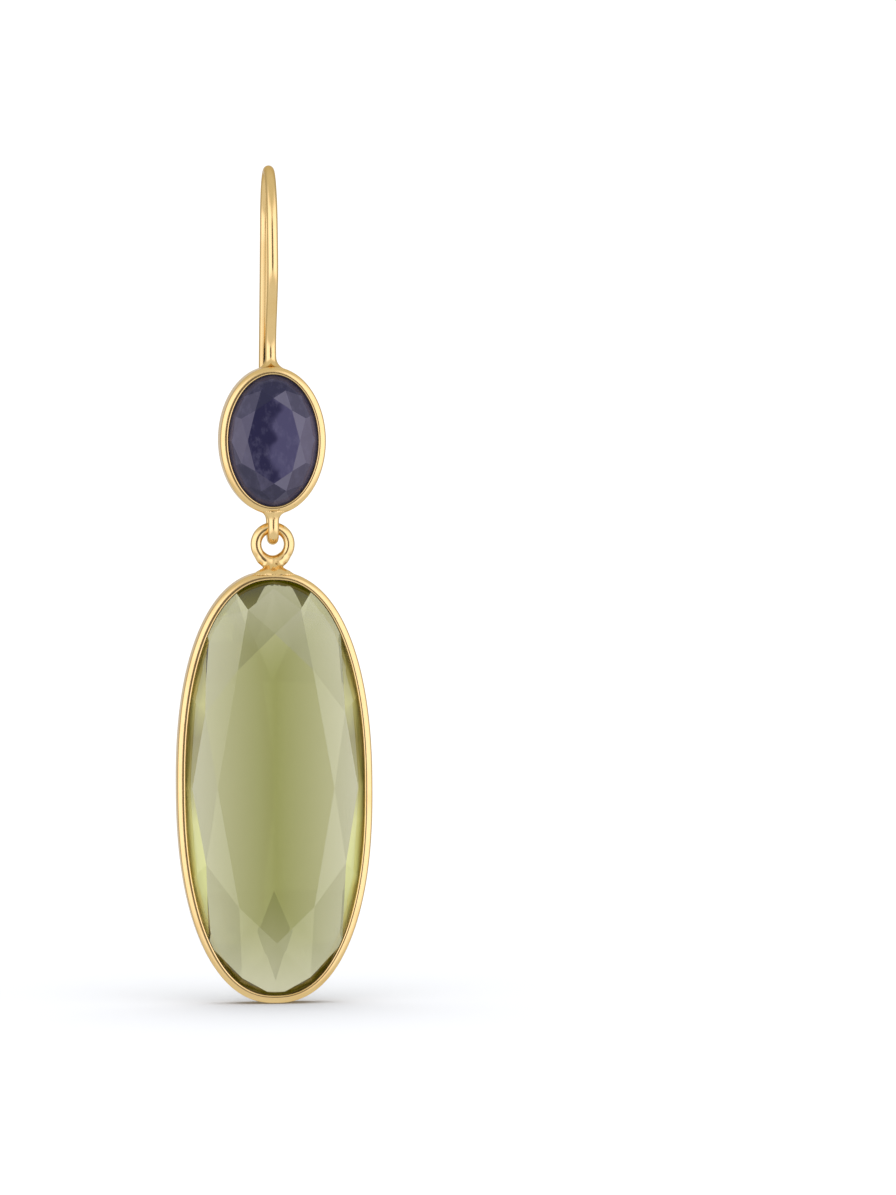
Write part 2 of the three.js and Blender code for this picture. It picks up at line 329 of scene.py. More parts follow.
# The ear wire's middle line, as depths and heights: a front leg, an arch and a back leg.
ARCH_HALF = 3.6  # half the distance between the legs
ARCH_RISE = 5.2
ARCH_FOOT = WIRE - ARCH_RISE
ARCH_TURNS = np.radians((150, 120, 90, 60, 30))
FRONT_BEND = -7.5  # the height where the front leg starts to lean back
BASE_DEPTH = -1.2
BASE_BEND = -12.4  # the height where it turns straight down again
TAIL = (6.6, -18.8)  # the back leg's end
EAR_WIRE = (
    (BASE_DEPTH, UPPER_BAND["top"] - SUNK),
    (BASE_DEPTH, BASE_BEND),
    (-ARCH_HALF, FRONT_BEND),
    (-ARCH_HALF, ARCH_FOOT),
    *((ARCH_HALF * math.cos(turn), ARCH_FOOT + ARCH_RISE * math.sin(turn)) for turn in ARCH_TURNS),
    (ARCH_HALF, ARCH_FOOT),
    TAIL,
)
WIRE_STEPS = 22  # between two of its points
TAIL_TIP = 0.02  # the radius of the tail's very end, as a share of the wire's

RING_RADIUS = 1.25
RING_CREST = 1.18  # the radius of its wire's frontmost line
RING_HEIGHT = SETTING_HIGH[2] - WIRE - RING_RADIUS
LOOP_HALF = 1.05  # half the distance between the loop's legs
LOOP_TURN = RING_HEIGHT + RING_RADIUS - 2 * WIRE - LINK_GAP + LOOP_HALF  # where its bend starts
LOOP_POWER = 2.5  # how square its bend is: 2 is a circle
LOOP_BEND_POINTS = 41
LOOP_LEG_POINTS = 12
# The right one of the two legs that the drop's ring stands on: across, depth and height, all from
# the ring's middle.
LEG = (
    (0.75, 0.0, -1.16),
    (0.45, -0.15, -1.46),
    (0.37, -0.35, -1.73),
    (0.48, -0.55, -2.0),
    (0.85, -0.7, -2.3),
)
LEG_RADIUS = 0.36
LEG_STEPS = 5

# Solder runs from one shape to the next in fillets, each about as wide as its value here.
WIRE_FILLET = 0.8
LOOP_FILLET = 0.6
LEG_FILLET = 0.34
NECK_FILLET = 0.6
UNDER = 0.012  # how far solder starts under a band's face
FOOT_HALF = 1.2  # half the width that the ear wire's and the loop's solder is worked out in
FOOT_RISE = 1.1
MARGIN = 0.1  # round what is melted
MELT_CELL = 0.045
EVENINGS = 4  # how often a melted skin's points are evened out
DRAWS = 3  # the steps in which a point is drawn onto the skin
PROBE = 1e-3  # the distance over which the skin's slope is measured
LEAST_SLOPE = 0.1  # the square that a nearly flat slope counts as, so that no point is thrown far


class Shell:
    """A closed skin of gold: rings of points, each ring joined to the next."""

    def __init__(self, points, round_and_round=False):
        self.points = np.array(points, dtype=float)
        self.round_and_round = round_and_round

    def faces(self, start):
        rings, around = self.points.shape[:2]
        index = start + np.arange(rings * around).reshape(rings, around)
        rows = range(rings if self.round_and_round else rings - 1)
        quads = []
        for row in rows:
            a, b = index[row], index[(row + 1) % rings]
            quads += np.stack([a, np.roll(a, -1), np.roll(b, -1), b], axis=1).tolist()
        if not self.round_and_round:
            quads += [index[0][::-1].tolist(), index[-1].tolist()]
        return quads


class Melt:
    """A closed skin of gold round shapes that run smoothly into each other, on a grid of small cells."""

    def __init__(self, low, high, shapes):
        self.low, self.high = np.array(low), np.array(high)
        self.shapes = shapes
        counts = np.ceil((self.high - self.low) / MELT_CELL).astype(int) + 3
        grid = np.stack(np.meshgrid(*map(np.arange, counts), indexing="ij"), axis=-1)
        corners = self.low + (grid - 1) * MELT_CELL
        inside = self.distance(corners.reshape(-1, 3)).reshape(counts) < 0.0
        crossed = self.crossed_cells(inside)
        self.index = np.full(crossed.shape, -1)
        self.index[crossed] = np.arange(crossed.sum())
        self.quads = self.join_cells(inside)
        self.points = corners[:-1, :-1, :-1][crossed] + MELT_CELL / 2
        for _ in range(EVENINGS):
            self.points = self.evened(self.drawn_in(self.points))
        self.points = self.drawn_in(self.points)

    def distance(self, points):
        """The distance from the melted shapes, cut off by the box."""
        total = self.shapes[0][0](points)
        for shape, blend in self.shapes[1:]:
            other = shape(points)
            share = np.clip(0.5 + 0.5 * (other - total) / blend, 0.0, 1.0)
            total = other + (total - other) * share - blend * share * (1.0 - share)
        return np.maximum(total, np.max(np.maximum(self.low - points, points - self.high), axis=1))

    def drawn_in(self, points):
        """The points moved onto the skin."""
        for _ in range(DRAWS):
            value = self.distance(points)
            steps = np.eye(3) * PROBE
            slope = np.stack([self.distance(points + step) - value for step in steps], axis=1) / PROBE
            steepness = np.maximum(np.sum(slope * slope, axis=1), LEAST_SLOPE)
            points = points - (value / steepness)[:, None] * slope
        return points

    def evened(self, points):
        """Each point moved halfway to the mean of its faces' middles."""
        total = np.zeros_like(points)
        count = np.zeros(len(points))
        middles = points[self.quads].mean(axis=1)
        for corner in range(4):
            np.add.at(total, self.quads[:, corner], middles)
            np.add.at(count, self.quads[:, corner], 1.0)
        return (points + total / count[:, None]) / 2

    @staticmethod
    def crossed_cells(inside):
        """The cells that have some corners inside the skin and some outside."""
        ends = (slice(0, -1), slice(1, None))
        parts = [inside[i, j, k] for i in ends for j in ends for k in ends]
        return np.any(parts, axis=0) & ~np.all(parts, axis=0)

    def join_cells(self, inside):
        """A face across each grid edge that the skin crosses, between the four cells round the edge."""
        quads = []
        for axis in range(3):
            first, second = np.delete(np.eye(3, dtype=int), axis, axis=0)
            if axis == 1:
                first, second = second, first
            ends = np.moveaxis(inside, axis, 0)
            change = np.moveaxis(ends[:-1] != ends[1:], 0, axis)
            edges = np.argwhere(change)
            round_edge = [edges - first - second, edges - second, edges, edges - first]
            corners = np.stack([self.index[tuple(cell.T)] for cell in round_edge], axis=1)
            outward = inside[tuple(edges.T)]
            corners[~outward] = corners[~outward][:, ::-1]
            quads.append(corners)
        return np.concatenate(quads)

    def faces(self, start):
        return (start + self.quads).tolist()


def power_of(value, exponent):
    return np.sign(value) * np.abs(value) ** exponent


def outline(band, count):
    """Points of a band's outer outline at equal distances, clockwise from the top, and their normals."""
    half, power = band["half"], band["power"]
    turn = np.linspace(0.0, 2 * math.pi, TRACE * count + 1)
    dense = half * np.stack([power_of(np.sin(turn), 2 / power), power_of(np.cos(turn), 2 / power)], axis=1)
    length = np.concatenate([[0.0], np.cumsum(np.linalg.norm(np.diff(dense, axis=0), axis=1))])
    at = np.interp(np.arange(count) * length[-1] / count, length, turn)
    points = half * np.stack([power_of(np.sin(at), 2 / power), power_of(np.cos(at), 2 / power)], axis=1)
    normals = power_of(points / half, power - 1) / half
    return points, normals / np.linalg.norm(normals, axis=1, keepdims=True)


def corner_arc(centre, radii, angles):
    return [(centre[0] + radii[0] * math.cos(a), centre[1] + radii[1] * math.sin(a)) for a in angles]


def band_section(band):
    depth, crest, lip = band["depth"], band["crest"], band["lip"]
    seat = GIRDLE_FRONT + band["girdle"] + SEAT_GAP
    back = corner_arc((BACK_EDGE, depth - BACK_EDGE), (-BACK_EDGE, BACK_EDGE), QUARTER[::-4])
    cells = round((depth - BACK_EDGE - RIM_BACK) / WALL_CELL)
    wall = [(0.0, y) for y in np.linspace(depth - BACK_EDGE, RIM_BACK, cells + 1)[1:-1]]
    outer = corner_arc((crest, RIM_BACK), (-crest, -RIM_BACK), QUARTER)
    inner = corner_arc((crest, LIP_FRONT), (lip - crest, -LIP_FRONT), QUARTER[-3::-2])
    lip_and_wall = [(lip, LIP_BACK), (WALL, LIP_ROOT)]
    seat_and_back = [(WALL, seat), (SEAT_REACH, seat + SEAT_SLOPE), (SEAT_REACH, depth)]
    return np.array(back + wall + outer + inner + lip_and_wall + seat_and_back)


def band_shell(band):
    section = band_section(band)
    points, normals = outline(band, band["steps"])
    front = MIDDLE - band["depth"] / 2
    place = points[:, None, :] - section[None, :, :1] * normals[:, None, :]
    depth = np.broadcast_to(front + section[None, :, 1], place.shape[:2])
    rings = np.stack([place[..., 0], depth, place[..., 1] + band["centre"]], axis=2)
    return Shell(rings, round_and_round=True)


def band_distance(band):
    """The distance from just under a band's outer wall, for points near it."""
    half, power, crest = band["half"], band["power"], band["crest"]
    flat_half = band["depth"] / 2 - RIM_BACK

    def distance(points):
        part = (points[:, [0, 2]] - (0.0, band["centre"])) / half
        ratio = np.abs(part)
        level = np.sum(ratio**power, axis=1) ** (1 / power)
        slope = (ratio / level[:, None]) ** (power - 1) / half
        outward = np.maximum((level - 1.0) / np.linalg.norm(slope, axis=1) + crest, 0.0)
        sideways = np.maximum(np.abs(points[:, 1] - MIDDLE) - flat_half, 0.0)
        return (np.hypot(outward / crest, sideways / RIM_BACK) - 1.0) * crest + UNDER

    return distance


def side_view(path):
    """A path of (depth, height) points, in space."""
    return np.stack([np.zeros(len(path)), path[:, 0], path[:, 1]], axis=1)


def wire_shell(path, radius, square):
    """A round wire along a path that lies in one plane, whose direction square to it is given."""
    along = np.gradient(path, axis=0)
    along /= np.linalg.norm(along, axis=1, keepdims=True)
    turns = np.arange(AROUND) * 2 * math.pi / AROUND
    side = np.cross(along, square)
    out = np.cos(turns)[None, :, None] * np.array(square) + np.sin(turns)[None, :, None] * side[:, None, :]
    radii = np.broadcast_to(radius, len(path))
    return Shell(path[:, None, :] + radii[:, None, None] * out)


def wire_distance(path, radius):
    def distance(points):
        nearest = np.full(len(points), np.inf)
        for start, end in zip(path[:-1], path[1:]):
            step = end - start
            share = np.clip((points - start) @ step / (step @ step), 0.0, 1.0)
            nearest = np.minimum(nearest, np.linalg.norm(points - start - share[:, None] * step, axis=1))
        return nearest - radius

    return distance


def smooth_path(knots, steps):
    """A centripetal Catmull-Rom curve, as the CAD's ear wire has."""
    knots = np.array(knots)
    knots = np.concatenate([[2 * knots[0] - knots[1]], knots, [2 * knots[-1] - knots[-2]]])
    path = []
    for p0, p1, p2, p3 in zip(knots, knots[1:], knots[2:], knots[3:]):
        t1 = np.linalg.norm(p1 - p0) ** 0.5
        t2 = t1 + np.linalg.norm(p2 - p1) ** 0.5
        t3 = t2 + np.linalg.norm(p3 - p2) ** 0.5
        t = np.linspace(t1, t2, steps, endpoint=False)[:, None]
        a1 = ((t1 - t) * p0 + t * p1) / t1
        a2 = ((t2 - t) * p1 + (t - t1) * p2) / (t2 - t1)
        a3 = ((t3 - t) * p2 + (t - t2) * p3) / (t3 - t2)
        b1 = ((t2 - t) * a1 + t * a2) / t2
        b2 = ((t3 - t) * a2 + (t - t1) * a3) / (t3 - t1)
        path.append(((t2 - t) * b1 + (t - t1) * b2) / (t2 - t1))
    return np.concatenate([*path, knots[-2:-1]])


def ring_distance(points):
    """The distance from the drop's ring, whose wire is a little fuller outside its crest than inside."""
    away = points - np.array([0.0, MIDDLE, RING_HEIGHT])
    beyond = np.hypot(away[:, 0], away[:, 2]) - RING_CREST
    half = np.where(beyond > 0.0, RING_RADIUS + WIRE - RING_CREST, RING_CREST - RING_RADIUS + WIRE)
    return (np.hypot(beyond / half, away[:, 1] / WIRE) - 1.0) * WIRE


def gold_piece(name, shells, body, node, material):
    points = []
    faces = []
    for shell in shells:
        faces += shell.faces(len(points))
        points += (shell.points.reshape(-1, 3) * MM).tolist()
    mesh = bpy.data.meshes.new(name)
    mesh.from_pydata(points, [], faces)
    mesh.validate()
    mesh.shade_smooth()
    mesh.set_sharp_from_angle(angle=SHARP)
    mesh.materials.append(material)
    piece = bpy.data.objects.new(name, mesh)
    bpy.context.scene.collection.objects.link(piece)
    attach(piece, body)
    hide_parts(node)
    return piece


def tail_end(path):
    """The path with its last stretch closed by a rounded tip, and the wire's radius along it."""
    along = path[-1] - path[-2]
    along /= np.linalg.norm(along)
    tip = path[-1] + np.sin(QUARTER[2::2])[:, None] * WIRE * along
    radii = np.concatenate([np.full(len(path), WIRE), WIRE * np.cos(QUARTER[2::2])])
    radii[-1] = TAIL_TIP * WIRE
    return np.concatenate([path, tip]), radii


def loop_path():
    """The U of wire under the upper band, in its (depth, height)."""
    turn = np.linspace(math.pi, 2 * math.pi, LOOP_BEND_POINTS)
    bend = LOOP_HALF * power_of(np.stack([np.cos(turn), np.sin(turn)], axis=1), 2 / LOOP_POWER)
    height = np.linspace(UPPER_BAND["bottom"] + SUNK, LOOP_TURN, LOOP_LEG_POINTS)[:-1]
    legs = [np.stack([np.full(len(height), MIDDLE + side * LOOP_HALF), height], axis=1) for side in (-1, 1)]
    return np.concatenate([legs[0], (MIDDLE, LOOP_TURN) + bend, legs[1][::-1]])


def make_hook(material):
    wire = smooth_path(EAR_WIRE, WIRE_STEPS)
    middle, radii = tail_end(wire)
    loop = side_view(loop_path())
    band = band_distance(UPPER_BAND)
    reach = UPPER_BAND["depth"] / 2 + MARGIN
    front_leg = side_view(wire[:2 * WIRE_STEPS:3])
    wire_foot = Melt(
        (-FOOT_HALF, MIDDLE - reach, UPPER_BAND["top"] - SUNK),
        (FOOT_HALF, MIDDLE + reach, UPPER_BAND["top"] + FOOT_RISE),
        [(wire_distance(front_leg, WIRE), 0.0), (band, WIRE_FILLET)],
    )
    loop_and_feet = Melt(
        (-FOOT_HALF, MIDDLE - reach, LOOP_TURN - LOOP_HALF - WIRE - MARGIN),
        (FOOT_HALF, MIDDLE + reach, UPPER_BAND["bottom"] + SUNK),
        [(wire_distance(loop, WIRE), 0.0), (band, LOOP_FILLET)],
    )
    shells = [band_shell(UPPER_BAND), wire_shell(side_view(middle), radii, RIGHT), wire_foot, loop_and_feet]
    return gold_piece("ear_hook_gold", shells, "hook", "ear_hook", material)


def make_setting(material):
    path = smooth_path(LEG, LEG_STEPS) + (0.0, MIDDLE, RING_HEIGHT)
    legs = [(wire_distance(path * (side, 1.0, 1.0), LEG_RADIUS), LEG_FILLET) for side in (-1, 1)]
    reach = RING_RADIUS + WIRE + MARGIN
    depth_reach = DROP_BAND["depth"] / 2 + MARGIN
    ring_and_legs = Melt(
        (-reach, MIDDLE - depth_reach, DROP_BAND["top"] - SUNK),
        (reach, MIDDLE + depth_reach, RING_HEIGHT + reach),
        [(ring_distance, 0.0), *legs, (band_distance(DROP_BAND), NECK_FILLET)],
    )
    shells = [band_shell(DROP_BAND), ring_and_legs]
    return gold_piece("drop_setting_gold", shells, "drop", "drop_setting", material)


# ---- Gold ----

GOLD = (0.80, 0.585, 0.275, 1.0)
GOLD_DEEP = (0.75, 0.525, 0.225, 1.0)
GOLD_GRAZING = (0.74, 0.62, 0.44, 1.0)  # what it reflects at a flat angle
GOLD_PIT = (0.32, 0.17, 0.05, 1.0)
# Scales of noise, and the values of it between which a change goes from start to end.
CLOUD_SCALE = 0.45 / MM
GRAIN_SCALE = 9.0 / MM
GRAIN_DEPTH = 0.0015 * MM
PIT_SCALE = 3.2 / MM
PIT_SHARE = (0.66, 0.72)
PIT_ROUGHNESS = 0.2
CLOUD_SHARE = (0.5, 0.8)
GRAIN_SHARE = (0.25, 0.75)
POLISH = (0.12, 0.18)  # the roughness between the ends of the grain
# The heights of the pitted soldering: the feet of the loop, and the neck under the ring.
SOLDER = (UPPER_BAND["bottom"] + 0.13, RING_HEIGHT - 1.28)
SOLDER_HALF = 0.7


def gold_material():
    """Polished plating with a faint grain, and a few small pits where it was soldered."""
    material = bpy.data.materials.new("polished_gold")
    tree = Tree(material)
    at = tree.node("ShaderNodeTexCoord").outputs["Object"]
    cloud = tree.noise(at, CLOUD_SCALE, detail=3.0)
    grain = tree.noise(at, GRAIN_SCALE)
    speckle = tree.noise(at, PIT_SCALE, detail=1.0)
    height = tree.dot(at, (0.0, 0.0, 1 / MM))
    away = [tree.math("ABSOLUTE", tree.math("SUBTRACT", height, solder)) for solder in SOLDER]
    near = tree.spread(tree.math("MINIMUM", *away), SOLDER_HALF, SOLDER_HALF / 2)
    pits = tree.math("MULTIPLY", near, tree.spread(speckle, *PIT_SHARE))
    plated = tree.blend(tree.spread(cloud, *CLOUD_SHARE), GOLD, GOLD_DEEP)
    rough = tree.spread(grain, *GRAIN_SHARE, *POLISH)
    surface = tree.node("ShaderNodeBsdfPrincipled", {
        "Base Color": tree.blend(pits, plated, GOLD_PIT),
        "Metallic": 1.0,
        "Specular Tint": GOLD_GRAZING,
        "Roughness": tree.math("ADD", rough, tree.math("MULTIPLY", pits, PIT_ROUGHNESS)),
        "Normal": tree.bump(grain, GRAIN_DEPTH),
    })
    tree.node("ShaderNodeOutputMaterial", {"Surface": surface.outputs[0]})
    return material


# ---- Places on a stone ----


class Place:
    """Where a point of a stone is and how its facet lies, as sockets of the stone's material."""

    def __init__(self, tree, node, power):
        low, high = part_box(node)
        middle = (low + high) / 2
        half = (high - low) / 2
        self.at = tree.node("ShaderNodeTexCoord").outputs["Object"]
        # From the stone's middle, each from -1 to 1.
        self.across = tree.dot(self.at, (1 / half.x, 0.0, 0.0))
        self.up = tree.math("SUBTRACT", tree.dot(self.at, (0.0, 0.0, 1 / half.z)), middle.z / half.z)
        self.inset = self.inset_of(tree, half / MM, power)
        # How squarely the facet faces forward, up and to the right.
        self.normal = tree.node("ShaderNodeNewGeometry").outputs["True Normal"]
        self.forward = tree.dot(self.normal, (0.0, -1.0, 0.0))
        self.upward = tree.dot(self.normal, (0.0, 0.0, 1.0))
        self.rightward = tree.dot(self.normal, RIGHT)

    def inset_of(self, tree, half, power):
        """How far in from the stone's outline a point is, in millimetres."""
        side = tree.math("ABSOLUTE", self.across)
        rise = tree.math("ABSOLUTE", self.up)
        level = tree.math("ADD", tree.math("POWER", side, power), tree.math("POWER", rise, power))
        run_side = tree.math("MULTIPLY", tree.math("POWER", side, power - 1), power / half.x)
        run_rise = tree.math("MULTIPLY", tree.math("POWER", rise, power - 1), power / half.z)
        squares = tree.math("ADD", tree.math("POWER", run_side, 2.0), tree.math("POWER", run_rise, 2.0))
        return tree.math("DIVIDE", tree.math("SUBTRACT", 1.0, level), tree.math("SQRT", squares))


# ---- The green stone ----

# Painted light in its clear body: deep in the middle and paler to the sides and ends, where the
# stone is thinner. A pair is where a change starts and where it is complete.
PALE_GREEN = (0.81, 0.80, 0.64, 1.0)
DEEP_GREEN = (0.50, 0.52, 0.24, 1.0)
PALE_ACROSS = (0.0, 0.85)
PALE_UP = (0.45, 1.05)
KEEL_LINE = (0.0, -0.012)  # painted light, a little paler to the left of the keel
KEEL_STEP = 0.05
# Painted light and shade: what a facet lets through, lighter or darker by how squarely it faces
# forward: the halves, the kites, the stars and the table.
PAINTED_FACET_LIGHT = (
    (0.70, (0.90, 0.92, 0.72)),
    (0.86, (0.90, 0.92, 0.72)),
    (0.90, (0.92, 0.92, 0.84)),
    (0.93, (0.92, 0.92, 0.84)),
    (0.955, (1.0, 1.0, 0.96)),
    (0.985, (1.0, 1.0, 0.96)),
    (0.992, (0.80, 0.80, 0.68)),
)
WHITE = (1.0, 1.0, 1.0, 1.0)
TOP_SHADE = (0.55, 0.55, 0.50, 1.0)  # painted shade: what the facets at the top let through, next to the rest

# Places on it: heights from -1 to 1, distances in millimetres, and how squarely facets face.
UPPER_END = (0.70, 0.72)
LOWER_END = (-0.88, -0.92)
CROWN_BACK = MIDDLE - 0.48  # a depth just behind the crown's facets, in millimetres
CROWN_START = (CROWN_BACK, CROWN_BACK - 0.02)
STEEP = (0.904, 0.898)  # kites face forward more squarely than this, halves less
FLAT = (0.93, 0.95)  # the top kite, the stars and the table face forward more squarely than this
TOP_RISE = (0.09, 0.12)  # of these, the top kite and the two stars beside it face up more than this
CORNER_RISE = (0.38, 0.42)  # the halves beside the top kite face up more than this
CLEAR_RISE = (0.40, 0.36)  # at the upper end, the halves that face up less than this are clear
FOOT_WIDTH = (0.40, 0.34)  # the streaks of painted shade go all along the foot of the stone this far in

# The pale window at the top, between two corners of painted shade. It is wider further in.
WINDOW_MIDDLE = 0.055
WINDOW_EDGE = (0.10, 0.085)
WINDOW_SLANT = 0.09
WINDOW_TOP = (0.80, 0.90)
RAG_SCALE = 2.0 / MM
RAG_REACH = 0.5

# The steep facets' painted colours from the stone's bottom to its top, near the outline and further
# in: painted shade, dark at the ends and on the upper sides, and painted glints, brightest on the lower
# sides.
PAINTED_EDGE_GREENS = (
    (0.0, (0.105, 0.080, 0.004)),
    (0.09, (0.115, 0.090, 0.006)),
    (0.12, (0.50, 0.40, 0.12)),
    (0.25, (0.56, 0.46, 0.10)),
    (0.40, (0.56, 0.44, 0.09)),
    (0.52, (0.42, 0.37, 0.10)),
    (0.75, (0.42, 0.35, 0.08)),
    (0.93, (0.20, 0.17, 0.03)),
    (0.97, (0.07, 0.065, 0.0)),
)
PAINTED_INNER_GREENS = (
    (0.0, (0.070, 0.052, 0.0)),
    (0.10, (0.080, 0.062, 0.0)),
    (0.14, (0.42, 0.39, 0.12)),
    (0.25, (0.56, 0.59, 0.20)),
    (0.42, (0.54, 0.56, 0.20)),
    (0.52, (0.24, 0.23, 0.06)),
    (0.62, (0.20, 0.19, 0.05)),
    (0.70, (0.36, 0.36, 0.12)),
    (0.82, (0.22, 0.21, 0.05)),
    (0.95, (0.050, 0.046, 0.0)),
    (0.97, (0.035, 0.032, 0.0)),
)
FURTHER_IN = (0.55, 1.05)
STREAK_SCALES = (2.2 / MM, 0.6 / MM, 0.22 / MM)  # the streaks run along the stone
STREAK_REACH = 0.9
CLEAR = 0.97  # the body's transmission
PAINTED = 0.15  # the steep facets' transmission
ABSORBING = (0.5, 0.52, 0.0, 1.0)
DENSITY = 70.0


def green_window(tree, place):
    """Where the pale window at the top is: 1 in it and 0 outside."""
    off_middle = tree.math("ABSOLUTE", tree.math("SUBTRACT", place.across, WINDOW_MIDDLE))
    corners = tree.math("SUBTRACT", off_middle, tree.math("MULTIPLY", place.inset, WINDOW_SLANT))
    rag = tree.math("MULTIPLY", tree.noise(place.at, RAG_SCALE), RAG_REACH)
    ragged = tree.math("ADD", place.inset, rag)
    window = tree.math("MULTIPLY", tree.spread(corners, *WINDOW_EDGE), tree.spread(ragged, *WINDOW_TOP))
    return tree.math("MULTIPLY", window, tree.spread(place.up, *UPPER_END))


def green_body(tree, place, window):
    """The colour that the clear stone is seen in, with painted light and shade: paler to its sides and ends
    and left of the keel, facets lighter or darker by how they face, and painted shade on the facets at the
    top.
    """
    # Painted light: paler to the sides and ends, and a little paler left of the keel.
    beside = tree.spread(tree.math("ABSOLUTE", place.across), *PALE_ACROSS)
    above = tree.spread(tree.math("ABSOLUTE", place.up), *PALE_UP, smooth=True)
    left_of_keel = tree.spread(place.across, *KEEL_LINE, 0.0, KEEL_STEP)
    paleness = tree.math("ADD", tree.math("MAXIMUM", beside, above), left_of_keel)
    body = tree.blend(paleness, DEEP_GREEN, PALE_GREEN)
    # Painted light and shade on the facets, by how they face.
    facet_light = tree.multiply(body, tree.ramp(place.forward, PAINTED_FACET_LIGHT))
    # Painted shade on the top kite, the stars beside it, and the halves in the window beside the kite.
    at_top = tree.math("MULTIPLY", tree.spread(place.upward, *TOP_RISE), tree.spread(place.forward, *FLAT))
    beside_kite = tree.math("MULTIPLY", window, tree.spread(place.upward, *CORNER_RISE))
    shade = tree.math("MAXIMUM", at_top, beside_kite)
    return tree.multiply(facet_light, tree.blend(shade, WHITE, TOP_SHADE))


def green_edge(tree, place, window):
    """Where the crown's steep facets and the stone's foot are, which are painted with streaks of shade and
    glints.
    """
    crown = tree.spread(tree.dot(place.at, (0.0, 1 / MM, 0.0)), *CROWN_START)
    lying_back = tree.spread(tree.math("ABSOLUTE", place.forward), *STEEP)
    clear = tree.math("MULTIPLY", tree.spread(place.up, *UPPER_END), tree.spread(place.upward, *CLEAR_RISE))
    steep = tree.math("SUBTRACT", lying_back, tree.math("MAXIMUM", clear, window))
    foot = tree.math("MULTIPLY", tree.spread(place.up, *LOWER_END), tree.spread(place.inset, *FOOT_WIDTH))
    return tree.math("MULTIPLY", crown, tree.math("MAXIMUM", steep, foot))


def green_painted_streaks(tree, place):
    """The painted shade and painted glints on those facets."""
    streaks = tree.noise(tree.stretch(place.at, STREAK_SCALES), 1.0, detail=3.0)
    reach = tree.math("ADD", place.inset, tree.math("MULTIPLY", streaks, STREAK_REACH))
    rise = tree.spread(place.up, -1.0, 1.0)
    inward = tree.spread(reach, *FURTHER_IN, smooth=True)
    return tree.blend(inward, tree.ramp(rise, PAINTED_EDGE_GREENS), tree.ramp(rise, PAINTED_INNER_GREENS))


def green_material():
    """A clear green quartz, with painted light that makes it paler at its ends, and streaks of olive and
    bright green at its edge that are painted shade and painted glints.
    """
    material = bpy.data.materials.new("green_quartz")
    tree = Tree(material)
    place = Place(tree, "drop_stone", DROP_BAND["power"])
    window = green_window(tree, place)
    edge = green_edge(tree, place, window)
    surface = tree.node("ShaderNodeBsdfPrincipled", {
        # Painted shade and painted glints on the steep facets and the foot, over the clear body.
        "Base Color": tree.blend(edge, green_body(tree, place, window), green_painted_streaks(tree, place)),
        "Roughness": 0.0,
        "IOR": 1.54,
        "Transmission Weight": tree.spread(edge, 0.0, 1.0, CLEAR, PAINTED),
        "Specular IOR Level": 1.0,
    })
    volume = tree.node("ShaderNodeVolumeAbsorption", {"Color": ABSORBING, "Density": DENSITY})
    tree.node("ShaderNodeOutputMaterial", {"Surface": surface.outputs[0], "Volume": volume.outputs[0]})
    return material


# ---- The blue stone ----

NAVY = (0.014, 0.013, 0.042, 1.0)
VIOLET = (0.052, 0.048, 0.102, 1.0)
VEIL = (0.105, 0.10, 0.165, 1.0)
# Painted shade on the crown's facets.
SHADED_BLUE = (0.006, 0.006, 0.030, 1.0)
# Painted light and painted reflections on the crown's facets, from the left-facing to the right-facing.
PAINTED_CROWN_LIGHT = (
    (0.0, (0.050, 0.044, 0.080)),
    (0.25, (0.062, 0.056, 0.096)),
    (0.38, (0.036, 0.032, 0.070)),
    (0.50, (0.032, 0.028, 0.062)),
    (0.60, (0.105, 0.098, 0.148)),
    (0.66, (0.105, 0.098, 0.148)),
    (0.72, (0.060, 0.052, 0.090)),
    (1.0, (0.062, 0.054, 0.096)),
)
CROWN_TURN = 0.7  # the ramp's ends: how far a facet faces to a side
# The table is navy on its left and violet on its right, and clouds move the border between them.
BLUE_CLOUD_SCALE = 0.55 / MM
CLOUD_REACH = 0.9
BORDER = (-0.10, 0.12)
WISP_SCALE = 1.5 / MM
WISP_STRETCH = (1.0, 1.0, 0.6)
WISP_SHARE = (0.3, 0.8)
BLUE_POLISH = (0.10, 0.22)
# Where each change starts and is complete, by noise, by how facets face, or by how far in they are.
# A third value is how much it changes at most.
BODY_WISPS = (0.50, 0.80, 0.5)
CROWN_WISPS = (0.50, 0.85, 0.35)
FACING_UP = (0.12, 0.30, 1.0)
FACING_DOWN = (-0.15, -0.40, 0.55)
LOWER_LEFT = (0.40, 0.42, 0.7)  # the kite there
STAR_FLATNESS = (0.93, 0.95)
STAR_UPWARD = (0.08, 0.10)
STAR_LEFT = (0.0, -0.01)  # the star at the upper left
# Painted light: the facets turn paler toward the rim, against the shade under the lip.
RIM_PAINTED_LIGHT = (0.75, 0.15, 0.6)
TABLE_FLATNESS = (0.985, 0.995)


def blue_table(tree, place, wisps):
    clouds = tree.noise(place.at, BLUE_CLOUD_SCALE, detail=2.0, roughness=0.4)
    wander = tree.math("MULTIPLY", tree.math("SUBTRACT", clouds, 0.5), CLOUD_REACH)
    side = tree.spread(tree.math("ADD", place.across, wander), *BORDER, smooth=True)
    body = tree.blend(side, NAVY, VIOLET)
    return tree.blend(tree.share(wisps, *BODY_WISPS), body, VEIL)


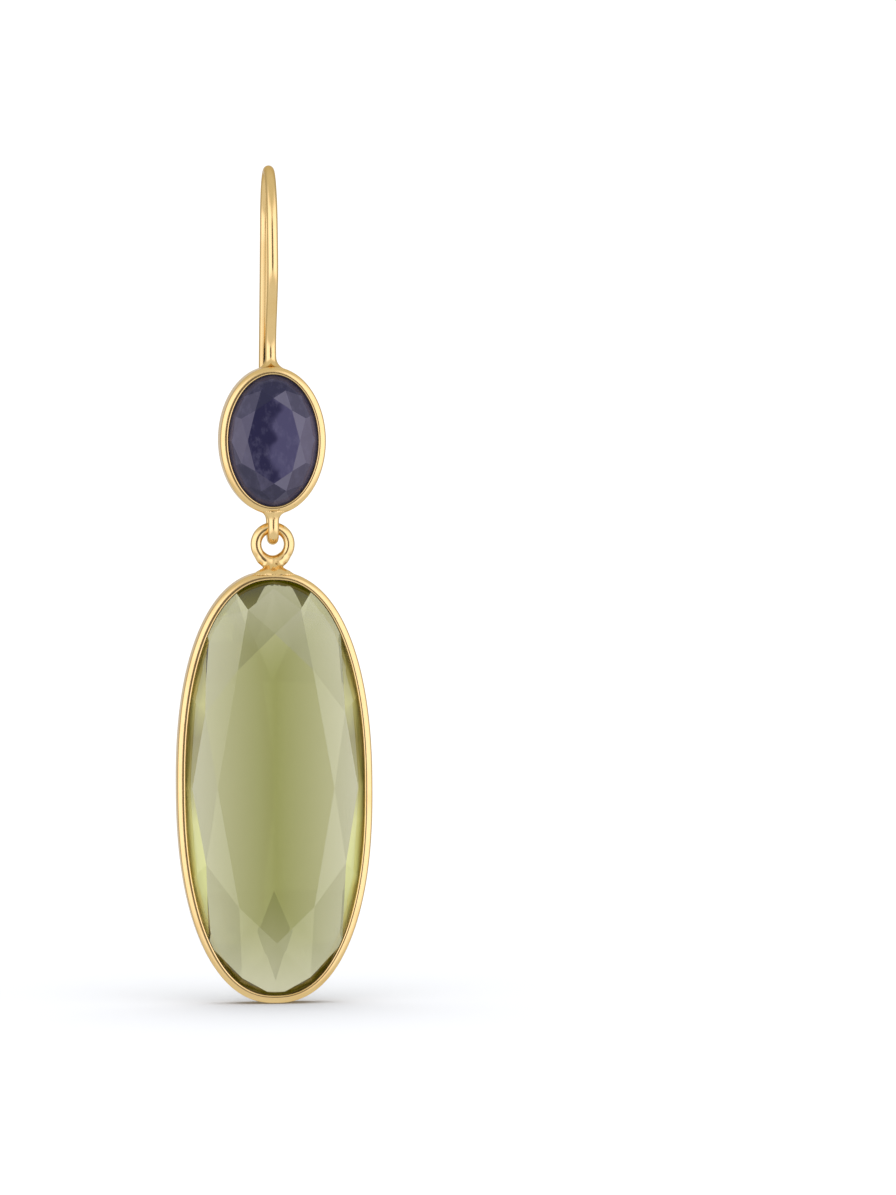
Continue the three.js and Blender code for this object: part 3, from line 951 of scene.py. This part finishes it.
def blue_crown(tree, place, wisps):
    """The colour of the facets round the table, with painted reflections by how they face, and painted
    shade on the ones that face up or down, to the lower left, and on the star at the upper left.
    """
    # Painted light and painted reflections by how a facet faces to a side, then painted shade on some
    # facets.
    crown = tree.ramp(tree.spread(place.rightward, -CROWN_TURN, CROWN_TURN), PAINTED_CROWN_LIGHT)
    rising = tree.share(place.upward, *FACING_UP)
    sinking = tree.share(place.upward, *FACING_DOWN)
    lit = tree.math("MULTIPLY", tree.math("SUBTRACT", 1.0, rising), tree.math("SUBTRACT", 1.0, sinking))
    crown = tree.blend(lit, SHADED_BLUE, crown)
    slant = math.sqrt(0.5)
    lower_left = tree.dot(place.normal, (-slant, 0.0, -slant))
    crown = tree.blend(tree.share(lower_left, *LOWER_LEFT), crown, SHADED_BLUE)
    star = tree.share(place.forward, *STAR_FLATNESS)
    star = tree.math("MULTIPLY", star, tree.share(place.upward, *STAR_UPWARD))
    star = tree.math("MULTIPLY", star, tree.share(place.across, *STAR_LEFT))
    crown = tree.blend(star, crown, SHADED_BLUE)
    crown = tree.blend(tree.share(wisps, *CROWN_WISPS), crown, VEIL)
    # Painted light, paler toward the rim.
    return tree.blend(tree.share(place.inset, *RIM_PAINTED_LIGHT), crown, VEIL)


def blue_material():
    """A cloudy, nearly opaque stone, darker on its left, with pale wisps."""
    material = bpy.data.materials.new("cloudy_sapphire")
    tree = Tree(material)
    place = Place(tree, "upper_stone", UPPER_BAND["power"])
    wisps = tree.noise(tree.stretch(place.at, WISP_STRETCH), WISP_SCALE, detail=5.0, roughness=0.65)
    table = tree.share(place.forward, *TABLE_FLATNESS)
    surface = tree.node("ShaderNodeBsdfPrincipled", {
        "Base Color": tree.blend(table, blue_crown(tree, place, wisps), blue_table(tree, place, wisps)),
        "Roughness": tree.spread(wisps, *WISP_SHARE, *BLUE_POLISH),
        "IOR": 1.77,
        "Specular IOR Level": 0.22,
    })
    tree.node("ShaderNodeOutputMaterial", {"Surface": surface.outputs[0]})
    return material


# ---- The scene ----


def dress(node, material):
    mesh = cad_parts[node].data
    mesh.materials.clear()
    mesh.materials.append(material)


make_camera()
make_world()
make_floor()
make_overhead_light()
gold = gold_material()
make_hook(gold)
make_setting(gold)
dress("drop_stone", green_material())
dress("upper_stone", blue_material())

bpy.context.scene.view_settings.view_transform = "Standard"
